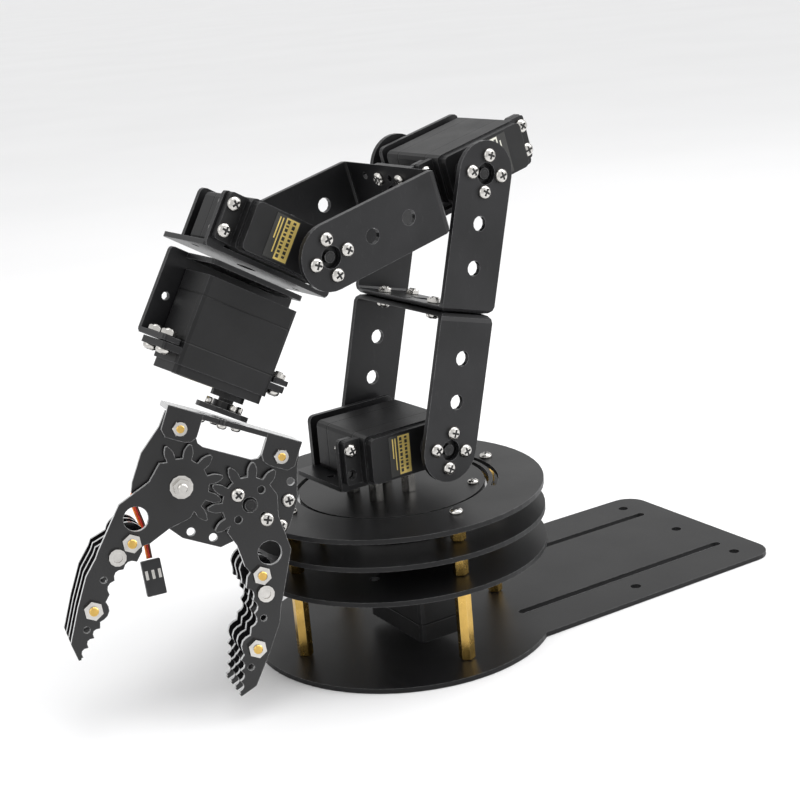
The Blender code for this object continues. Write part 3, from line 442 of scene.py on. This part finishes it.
# roll horn: screw ends above the disc, heads under the mounting plate
hm = fr(HORN, e, d)
for k in range(4):
    a = k * math.pi / 2
    place(STUD, loc(hm, 7 * math.cos(a), 7 * math.sin(a), -2.62), -d, "gripper", 0.0, "horn_stud")
hw, hn = (HORN - G0).dot(Wv), (HORN - G0).dot(N)
for k in range(4):
    a = k * math.pi / 2
    q = G0 + Wv * (hw + 7 * math.cos(a)) + N * (hn + 7 * math.sin(a)) + D * 2.72
    place(PAN_S, q, D, "gripper", a, "mount_screw")
for s in (-1, 1):
    place(NUT_B, G0 + Wv * (19.84 * s) + D * 8.08 + N * 8.02, N, "gripper", 0.3, "tab_nut")
    place(PAN_L, G0 + Wv * (19.84 * s) + D * 8.08 + N * 4.06, -N, "gripper", 0.3, "tab_screw")
for (w, dd_) in ((7.9, 26.0), (21.2, 32.0)):
    place(PAN_L, G0 + Wv * w + D * dd_ + N * 9.5, N, "right_jaw", 0.5 + w, "gear_screw")
place(SOC_B, PR + N * 9.5, N, "right_jaw", 0.2, "gear_centre_screw")
for side, body, P0 in ((1, "right_jaw", PR), (-1, "left_jaw", PL)):
    t = 0.337
    ox = side * Wv * math.cos(t) - D * math.sin(t)
    oy = side * Wv * math.sin(t) + D * math.cos(t)
    for (x, y) in ((3.1, 26.8), (0.18, 54.5)):
        place(CORE, P0 + ox * x + oy * y + N * (9.47 + 0.15 + 2.52), N, body, 0.0, "nut_core")


# ------------------------------------------------------------------ servo labels: plain block with bars
def label(name, servo_name, x0, x1, y0, y1, z, face):
    m, body = SERVO[servo_name]
    bm = bmesh.new()
    bar(bm, x0, x1, y0, y1, z, z + 0.12, 1)
    bar(bm, x0 + 0.4, x0 + (x1 - x0) * 0.58, y0 + 0.4, y1 - 0.4, z + 0.12, z + 0.15, 0)
    # two rows of dark dashes on the pale field, pale rules on the dark one
    k = 0
    for row in (0.16, 0.40):
        yy = y0 + 1.0
        while yy < y1 - 1.6:
            w = (0.9, 1.4, 0.7, 1.2)[k % 4]
            bar(bm, x0 + (x1 - x0) * row, x0 + (x1 - x0) * (row + 0.12), yy, yy + w, z + 0.15, z + 0.17, 1)
            yy += w + 0.55
            k += 1
    for row, ln in ((0.68, 0.85), (0.80, 0.55)):
        bar(bm, x0 + (x1 - x0) * row, x0 + (x1 - x0) * (row + 0.05), y0 + 1.0, y0 + (y1 - y0) * ln, z + 0.12, z + 0.14, 0)
    me = bpy.data.meshes.new(name)
    bm.to_mesh(me)
    bm.free()
    me.materials.append(face)
    me.materials.append(ink)
    o = bpy.data.objects.new(name, me)
    o.matrix_world = m
    col.objects.link(o)
    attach(o, body)


label("shoulder_label", "shoulder_servo", 11.2, 21.3, -8.2, 8.2, 37.34, gold)
label("elbow_label", "elbow_servo", 11.2, 21.3, -8.2, 8.2, 37.34, white)
label("wrist_label", "wrist_servo", 10.2, 20.8, -8.2, 8.2, 37.34, gold)
label("roll_label", "roll_servo", 11.2, 21.3, -8.2, 8.2, 37.34, gold)


# ------------------------------------------------------------------ gripper lead: three strands in a flat ribbon
def gp(w, dd_, n):
    return (G0 + Wv * w + D * dd_ + N * n) * MM


KEY = [gp(-17.6, 32.0, -34.0), gp(-22.0, 41.0, -32.0), gp(-15.5, 51.6, -27.2), gp(-10.1, 62.1, -25.6)]


def spline(keys, per=8):
    out = []
    ks = [keys[0] * 2 - keys[1]] + keys + [keys[-1] * 2 - keys[-2]]
    for i in range(1, len(ks) - 2):
        p0, p1, p2, p3 = ks[i - 1], ks[i], ks[i + 1], ks[i + 2]
        for k in range(per):
            t = k / per
            out.append(0.5 * ((2 * p1) + (p2 - p0) * t + (2 * p0 - 5 * p1 + 4 * p2 - p3) * t * t +
                              (3 * p1 - p0 - 3 * p2 + p3) * t ** 3))
    out.append(keys[-1])
    return out


path = spline(KEY)
bm = bmesh.new()
for si in (-1, 0, 1):
    prev = None
    for i, p in enumerate(path):
        tg = (path[min(i + 1, len(path) - 1)] - path[max(i - 1, 0)]).normalized()
        sd = tg.cross(N).normalized()
        up = sd.cross(tg).normalized()
        c = p + sd * si * 0.78 * MM
        rg = [bm.verts.new(c + (sd * math.cos(q * math.pi / 5) + up * math.sin(q * math.pi / 5)) * 0.42 * MM) for q in range(10)]
        if prev:
            for q in range(10):
                fc = bm.faces.new((prev[q], prev[(q + 1) % 10], rg[(q + 1) % 10], rg[q]))
                fc.material_index = si + 1
                fc.smooth = True
        else:
            bm.faces.new(list(reversed(rg))).material_index = si + 1
        prev = rg
    bm.faces.new(prev).material_index = si + 1
bmesh.ops.recalc_face_normals(bm, faces=bm.faces)
me = bpy.data.meshes.new("gripper_lead_ribbon")
bm.to_mesh(me)
bm.free()
for x in (brown, red, orange):
    me.materials.append(x)
rib = bpy.data.objects.new("gripper_lead_ribbon", me)
col.objects.link(rib)
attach(rib, "gripper")
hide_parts("gripper_lead")
# bright contacts in the plug's windows, and squares of painted shade for the openings at the plug's end
run = (KEY[3] - KEY[2]).normalized()
pm = fr(KEY[3] / MM + run * 0.55, Wv, run)
bm = bmesh.new()
for x in (-2.54, 0, 2.54):
    bar(bm, x - 0.55, x + 0.55, 1.3, 1.42, 4.0, 7.5, 0)
    bar(bm, x - 0.6, x + 0.6, -0.5, 0.5, 13.95, 14.06, 1)
me = bpy.data.meshes.new("plug_contacts")
bm.to_mesh(me)
bm.free()
me.materials.append(nickel)
me.materials.append(painted_shade)
pc = bpy.data.objects.new("plug_contacts", me)
pc.matrix_world = pm
col.objects.link(pc)
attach(pc, "gripper")

# ------------------------------------------------------------------ floor, light
bm = bmesh.new()
bmesh.ops.create_grid(bm, x_segments=2, y_segments=2, size=80.0, matrix=Matrix.Translation((0, 0, -0.0002)))
me = bpy.data.meshes.new("floor")
bm.to_mesh(me)
bm.free()
me.materials.append(floor_m)
fl = bpy.data.objects.new("floor", me)
col.objects.link(fl)

world = bpy.data.worlds.new("studio")
bpy.context.scene.world = world
world.use_nodes = True
bg = world.node_tree.nodes["Background"]
bg.inputs[0].default_value = (1.0, 1.0, 1.0, 1.0)
bg.inputs[1].default_value = 0.95


def area(name, at, target, size, power):
    L = bpy.data.lights.new(name, "AREA")
    L.shape = "RECTANGLE"
    L.size, L.size_y = size
    L.energy = power
    o = bpy.data.objects.new(name, L)
    dv = (Vector(at) - Vector(target)).normalized()
    o.matrix_world = dv.to_track_quat("Z", "Y").to_matrix().to_4x4()
    o.location = at
    col.objects.link(o)


area("key_top", (-0.25, 0.15, 1.1), (0, 0, 0.1), (0.9, 0.9), 6.0)
area("side_right", (-0.95, 0.75, 0.7), (0, 0, 0.12), (0.6, 0.8), 7.0)
area("fill_left", (1.0, 0.1, 0.7), (0.02, 0, 0.12), (0.8, 0.9), 2.0)
bpy.context.scene.view_settings.view_transform = "Standard"
